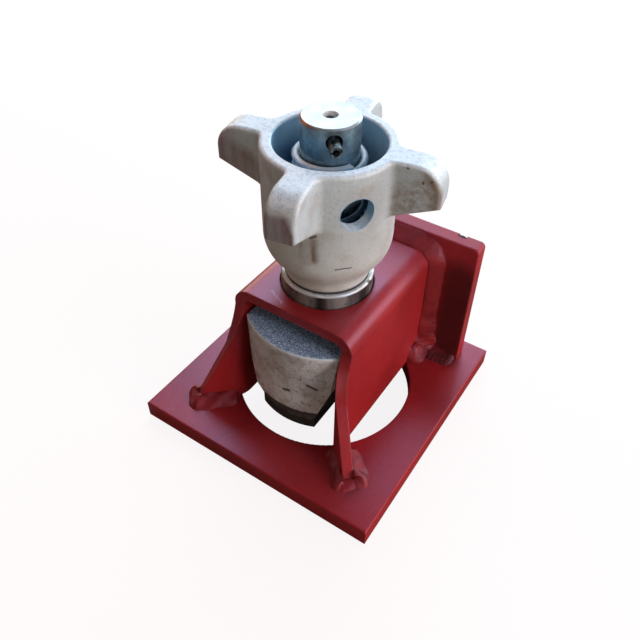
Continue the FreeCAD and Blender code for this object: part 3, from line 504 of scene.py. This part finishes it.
# the upper face is painted blue-white as painted sky light, broken by dark grains
painted_sky_top = blend_colours(tree, ramp(tree, grit.outputs["Fac"], 0.47, 0.56), "#6C8AB0", "#C9E0F8")
painted_sky_top = blend_colours(tree, ramp(tree, pits.outputs["Fac"], 0.43, 0.35, 0.0, 0.5), painted_sky_top, "#3A4650")
tone = blend_colours(tree, ramp(tree, facing.outputs["Z"], 0.55, 0.9), tone, painted_sky_top)
# two dents on the front face
dents = marks(tree, place, [((2.0, -44.7, 42.6), (5.0, -44.5, 43.6), 1.7),
                            ((15.6, -42.0, 51.9), (20.2, -40.0, 49.3), 1.3)], 0.3)
tone = blend_colours(tree, product(tree, dents, 0.85), tone, "#3A2E25")
# grease below a ragged line, and painted shade on all that faces down
ragged = shifted(tree, place, 240.0, 3.0)
edge_z = add(tree, "SeparateXYZ", {"Vector": ragged})
grease_and_underside_shade = product(tree, ramp(tree, edge_z.outputs["Z"], 0.0218, 0.0200),
                 ramp(tree, facing.outputs["Z"], -0.20, -0.32), "MAXIMUM")
tone = blend_colours(tree, product(tree, grease_and_underside_shade, 0.93), tone, "#17120F")
gloss = ramp(tree, pits.outputs["Fac"], 0.35, 0.65, 0.62, 0.44)
deep = product(tree, pits.outputs["Fac"], product(tree, dents, -1.2), "ADD")
soft = add(tree, "Bump", {"Height": deep, "Strength": 0.8, "Distance": 0.0007})
fine = add(tree, "Bump", {"Height": grit.outputs["Fac"], "Strength": 0.6, "Distance": 0.00025,
                          "Normal": soft.outputs[0]})
body = add(tree, "BsdfPrincipled", {"Base Color": tone, "Metallic": 0.15, "Roughness": gloss,
                                    "Normal": fine.outputs[0]})
add(tree, "OutputMaterial", {"Surface": body.outputs[0]})
wear("lock_head", forged)

# ---------------------------------------------------------------- spindle
# The spindle is turned from bar and zinc plated. It is pushed into the head and held by a ring
# of weld; its upper end, with a lathe centre, is painted near-white as painted light, the centre's
# wall is painted pale as painted light, and its chamfer has rusted.

plated, tree = new_material("zinc_plated_steel")
place = add(tree, "TexCoord").outputs["Object"]
split = add(tree, "SeparateXYZ", {"Vector": place})
facing = add(tree, "SeparateXYZ", {"Vector": add(tree, "NewGeometry").outputs["Normal"]})
level = add(tree, "Mapping", {"Vector": place, "Scale": (25.0, 25.0, 2000.0)})
lines = add(tree, "TexNoise", {"Vector": level.outputs[0], "Scale": 1.0, "Detail": 2.0})
# the plating's bloom, 7 mm across, and handling marks of 1.5 mm
bloom = add(tree, "TexNoise", {"Vector": place, "Scale": 140.0, "Detail": 4.0})
spots = add(tree, "TexNoise", {"Vector": place, "Scale": 650.0, "Detail": 3.0})
tone = blend_colours(tree, ramp(tree, bloom.outputs["Fac"], 0.36, 0.64), "#5F7079", "#93A9B2")
tone = blend_colours(tree, ramp(tree, spots.outputs["Fac"], 0.60, 0.70, 0.0, 0.5), tone, "#4C5253")
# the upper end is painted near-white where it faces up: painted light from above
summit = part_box("spindle")[1].z
crown = product(tree, ramp(tree, facing.outputs["Z"], 0.6, 0.9),
                ramp(tree, split.outputs["Z"], summit - 0.002, summit - 0.001))
wear_and_painted_light = blend_colours(tree, ramp(tree, bloom.outputs["Fac"], 0.35, 0.65), "#DDE6E4", "#F4F6F4")
tone = blend_colours(tree, crown, tone, wear_and_painted_light)
# its chamfer has rusted, most of all on the left
rust = product(tree, ramp(tree, split.outputs["Z"], summit - 0.0014, summit - 0.0008),
               ramp(tree, facing.outputs["Z"], 0.92, 0.85))
rust = product(tree, rust, ramp(tree, split.outputs["X"], 0.002, -0.003, 0.1, 0.95))
tone = blend_colours(tree, rust, tone, "#9A5B32")
# the wall of the lathe centre is painted pale and no mirror: painted light in the hole
painted_light_hole = product(tree, mark(tree, place, (0, 0, 170), (0, 0, 186), 4.3, 0.95),
                  ramp(tree, facing.outputs["Z"], 0.9, 0.7))
tone = blend_colours(tree, painted_light_hole, tone, "#F4F0EE")
metal = product(tree, ramp(tree, facing.outputs["Z"], 0.6, 0.9, 0.85, 0.25),
                ramp(tree, painted_light_hole, 0.0, 1.0, 1.0, 0.0))
gloss = ramp(tree, facing.outputs["Z"], 0.6, 0.9, 0.30, 0.5)
cut = add(tree, "Bump", {"Height": lines.outputs["Fac"], "Strength": 0.4, "Distance": 0.00005})
body = add(tree, "BsdfPrincipled", {"Base Color": tone, "Metallic": metal, "Roughness": gloss,
                                    "Normal": cut.outputs[0]})
add(tree, "OutputMaterial", {"Surface": body.outputs[0]})
for name in ("spindle", "spindle_weld", "spring_seat_washer"):
    wear(name, plated)

# ---------------------------------------------------------------- spring pin
# A slotted pin of spring steel, rolled from strip and driven through the spindle. It is a dark
# blue-grey, with brighter patches where the bluing has worn.

strip, tree = new_material("blued_spring_steel")
place = add(tree, "TexCoord").outputs["Object"]
bloom = add(tree, "TexNoise", {"Vector": place, "Scale": 500.0, "Detail": 3.0})
tone = blend_colours(tree, ramp(tree, bloom.outputs["Fac"], 0.35, 0.65), "#34393C", "#9AA1A4")
gloss = ramp(tree, bloom.outputs["Fac"], 0.3, 0.7, 0.22, 0.4)
body = add(tree, "BsdfPrincipled", {"Base Color": tone, "Metallic": 0.9, "Roughness": gloss})
add(tree, "OutputMaterial", {"Surface": body.outputs[0]})
wear("spring_pin", strip)

# ---------------------------------------------------------------- wing nut
# One casting of malleable iron, galvanised: a cup with four wings, on a neck that turns in the
# bush. The zinc is smooth and matt on the walls, grainy and painted nearly white as painted light
# on all that faces up, with a seam of the mould on the neck and a nearly black ring where the neck
# enters the bush.

cast, tree = new_material("galvanised_casting")
place = add(tree, "TexCoord").outputs["Object"]
split = add(tree, "SeparateXYZ", {"Vector": place})
facing = add(tree, "SeparateXYZ", {"Vector": add(tree, "NewGeometry").outputs["Normal"]})
# sand grain of 1 mm, blisters of 3 mm, the skin's unevenness of 12 mm and clouds 35 mm across
grain = add(tree, "TexNoise", {"Vector": place, "Scale": 900.0, "Detail": 4.0, "Roughness": 0.7})
blister = add(tree, "TexNoise", {"Vector": place, "Scale": 330.0, "Detail": 4.0, "Roughness": 0.6})
lumps = add(tree, "TexNoise", {"Vector": place, "Scale": 80.0, "Detail": 3.0})
clouds = add(tree, "TexNoise", {"Vector": place, "Scale": 28.0, "Detail": 3.0})
upright = add(tree, "Mapping", {"Vector": place, "Scale": (230.0, 230.0, 26.0)})
runs = add(tree, "TexNoise", {"Vector": upright.outputs[0], "Scale": 1.0, "Detail": 3.0})
tone = blend_colours(tree, ramp(tree, clouds.outputs["Fac"], 0.32, 0.68), "#B0B4B5", "#CDD6DB")
tone = blend_colours(tree, ramp(tree, lumps.outputs["Fac"], 0.52, 0.68, 0.0, 0.4), tone, "#9E8F80")
tone = blend_colours(tree, ramp(tree, grain.outputs["Fac"], 0.55, 0.68, 0.0, 0.45), tone, "#8F8377")
tone = blend_colours(tree, ramp(tree, grain.outputs["Fac"], 0.42, 0.32, 0.0, 0.5), tone, "#DAD8D4")
warm = ramp(tree, split.outputs["Z"], 0.150, 0.118, 0.0, 0.35)
tone = blend_colours(tree, warm, tone, "#C9B9A8")
# brown drips under the wing that stands over the mouth, and a stain along another wing's edge
ragged = shifted(tree, place, 330.0, 1.6)
stains = marks(tree, ragged, [((6.9, -32.0, 135.6), (7.4, -31.8, 125.0), 3.4),
                              ((11.0, -30.7, 138.0), (11.6, -30.5, 127.4), 3.4),
                              ((9.0, -31.4, 131.0), (9.4, -31.2, 125.0), 1.6),
                              ((46.9, 2.1, 170.9), (54.2, 3.0, 162.0), 3.4),
                              ((54.4, 3.1, 161.0), (54.1, 2.9, 152.5), 4.2)], 0.1)
stains = product(tree, stains, ramp(tree, runs.outputs["Fac"], 0.36, 0.58, 0.3, 0.9))
tone = blend_colours(tree, stains, tone, "#755842")
# two wings are painted browner, on the left one's face and on the front one's end; the
# right one's near side is worn in blotches
wear_and_painted_light = mark(tree, ragged, (-34.0, -14.5, 148.0), (-52.0, -18.0, 157.0), 13.0, 0.6)
wear_and_painted_light = product(tree, wear_and_painted_light, ramp(tree, runs.outputs["Fac"], 0.30, 0.62, 0.40, 0.80))
tone = blend_colours(tree, wear_and_painted_light, tone, "#86696A")
wear_and_painted_light = product(tree, mark(tree, ragged, (3.0, -55.0, 164.0), (12.0, -56.0, 149.0), 11.0, 0.75),
                 ramp(tree, facing.outputs["Y"], -0.60, -0.90))
wear_and_painted_light = product(tree, wear_and_painted_light, ramp(tree, runs.outputs["Fac"], 0.30, 0.62, 0.50, 0.95))
tone = blend_colours(tree, wear_and_painted_light, tone, "#74585A")
worn = product(tree, mark(tree, ragged, (36.0, -0.5, 151.0), (53.0, 3.0, 160.0), 12.0),
               ramp(tree, facing.outputs["Y"], -0.60, -0.90))
worn = product(tree, worn, ramp(tree, blister.outputs["Fac"], 0.38, 0.60, 0.15, 0.75))
tone = blend_colours(tree, worn, tone, "#958271")
# the inside of the cup is painted blue: painted sky light falling into it
inside = mark(tree, place, (0, 0, 118), (0, 0, 190), 28.2, 0.98)
inside = product(tree, inside, ramp(tree, split.outputs["Z"], 0.1175, 0.1215, 0.0, 0.85))
tone = blend_colours(tree, inside, tone, "#93C5E6")
# and so is the wall of the bar hole, as painted sky light
painted_light_hole = mark(tree, place, (20.0, -13.5, 151.8), (27.5, -18.55, 151.8), 8.6, 0.98)
tone = blend_colours(tree, product(tree, painted_light_hole, 0.8), tone, "#8FBCDB")
# the tops are painted white as painted light from above, with grains and pores of darker grey
white = blend_colours(tree, ramp(tree, blister.outputs["Fac"], 0.50, 0.66, 0.0, 0.7),
                      "#EDF1F3", "#C9D2DB")
white = blend_colours(tree, ramp(tree, grain.outputs["Fac"], 0.54, 0.66, 0.0, 0.6), white,
                      "#9CA7B6")
tone = blend_colours(tree, ramp(tree, facing.outputs["Z"], 0.35, 0.75), tone, white)
# the mould's seam, a short nick under a wing, and pores on a wing's side
flaws = marks(tree, place, [((20.4, -25.5, 122.3), (23.2, -23.0, 122.6), 0.55),
                            ((23.2, -23.0, 122.6), (26.0, -20.0, 122.4), 0.5),
                            ((10.2, -31.2, 140.0), (12.6, -30.4, 141.4), 0.9),
                            ((39.4, 0.0, 170.6), (39.9, 0.1, 170.6), 0.7),
                            ((47.1, 1.5, 164.8), (47.1, 1.5, 165.6), 0.7),
                            ((50.4, 2.1, 166.3), (50.9, 2.2, 166.6), 0.6),
                            ((9.6, -55.0, 163.6), (10.0, -55.0, 161.2), 0.4),
                            ((11.6, -55.3, 163.2), (11.8, -55.3, 160.4), 0.35)])
tone = blend_colours(tree, product(tree, flaws, 0.8), tone, "#4A3D33")
# nearly black where the neck enters the bush
ring = product(tree, ramp(tree, split.outputs["Z"], 0.0999, 0.0986),
               ramp(tree, facing.outputs["Z"], 0.5, 0.2))
tone = blend_colours(tree, product(tree, ring, 0.93), tone, "#120E0D")
height = product(tree, blister.outputs["Fac"], product(tree, flaws, -1.0), "ADD")
wavy = add(tree, "Bump", {"Height": lumps.outputs["Fac"], "Strength": 0.35, "Distance": 0.0009})
soft = add(tree, "Bump", {"Height": height, "Strength": 0.45, "Distance": 0.0004,
                          "Normal": wavy.outputs[0]})
fine = add(tree, "Bump", {"Height": grain.outputs["Fac"], "Strength": 0.45, "Distance": 0.0002,
                          "Normal": soft.outputs[0]})
body = add(tree, "BsdfPrincipled", {"Base Color": tone, "Metallic": 0.12, "Roughness": 0.52,
                                    "Normal": fine.outputs[0]})
add(tree, "OutputMaterial", {"Surface": body.outputs[0]})
wear("wing_nut", cast)

# ---------------------------------------------------------------- spring
# Round spring wire, coiled, its end turns closed and ground flat, and bright zinc plated. It
# stands on a washer in the cup. Its lower turns are painted dark as painted shade, and what
# faces up is painted nearly white as painted light.

bright, tree = new_material("bright_zinc")
place = add(tree, "TexCoord").outputs["Object"]
facing = add(tree, "SeparateXYZ", {"Vector": add(tree, "NewGeometry").outputs["Normal"]})
# bloom 3 mm across
bloom = add(tree, "TexNoise", {"Vector": place, "Scale": 300.0, "Detail": 3.0})
tone = blend_colours(tree, ramp(tree, bloom.outputs["Fac"], 0.35, 0.65), "#C3CBD1", "#E4E9EC")
# painted shade darkens the lower turns, and painted light makes what faces up, such as the
# ground end, nearly white
depth = add(tree, "SeparateXYZ", {"Vector": place}).outputs["Z"]
tone = blend_colours(tree, ramp(tree, depth, 0.159, 0.152, 0.0, 0.8), tone, "#3C4146")
tone = blend_colours(tree, ramp(tree, facing.outputs["Z"], 0.93, 0.99), tone, "#F6F8F8")
metal = ramp(tree, facing.outputs["Z"], 0.5, 0.95, 0.3, 0.0)
gloss = ramp(tree, bloom.outputs["Fac"], 0.3, 0.7, 0.30, 0.44)
body = add(tree, "BsdfPrincipled", {"Base Color": tone, "Metallic": metal, "Roughness": gloss})
add(tree, "OutputMaterial", {"Surface": body.outputs[0]})

wire, inner_radius, coil_turns, foot, head = 3.4, 14.35, 6.3, 122.0, 166.4
closed_turns, closed_pitch, ground = 0.9, wire * 0.96, 1.2
first_angle = math.radians(-128)
angle = np.linspace(0, 2 * math.pi * coil_turns, int(72 * coil_turns))
section = np.linspace(0, 2 * math.pi, 16, endpoint=False)
# the wire's height: closed turns at each end, an even pitch between, and flat ground ends
turns = angle / (2 * math.pi)
share = np.clip((turns - closed_turns) / (coil_turns - 2 * closed_turns), 0, 1)
low, high = foot + wire / 2 - ground, head - wire / 2 + ground
height = low + closed_pitch * np.minimum(turns, closed_turns) + closed_pitch * np.clip(
    turns - coil_turns + closed_turns, 0, closed_turns)
height = height + (high - low - 2 * closed_turns * closed_pitch) * share
out = inner_radius + wire / 2 + wire / 2 * np.cos(section)
grid = np.stack([out * np.cos(angle[:, None] + first_angle),
                 out * np.sin(angle[:, None] + first_angle),
                 height[:, None] + wire / 2 * np.sin(section)], -1)
grid[..., 2] = np.clip(grid[..., 2], foot, head)
coil = new_piece("coil_spring", grid, "nut", bright)
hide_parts("spring")
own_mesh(coil)
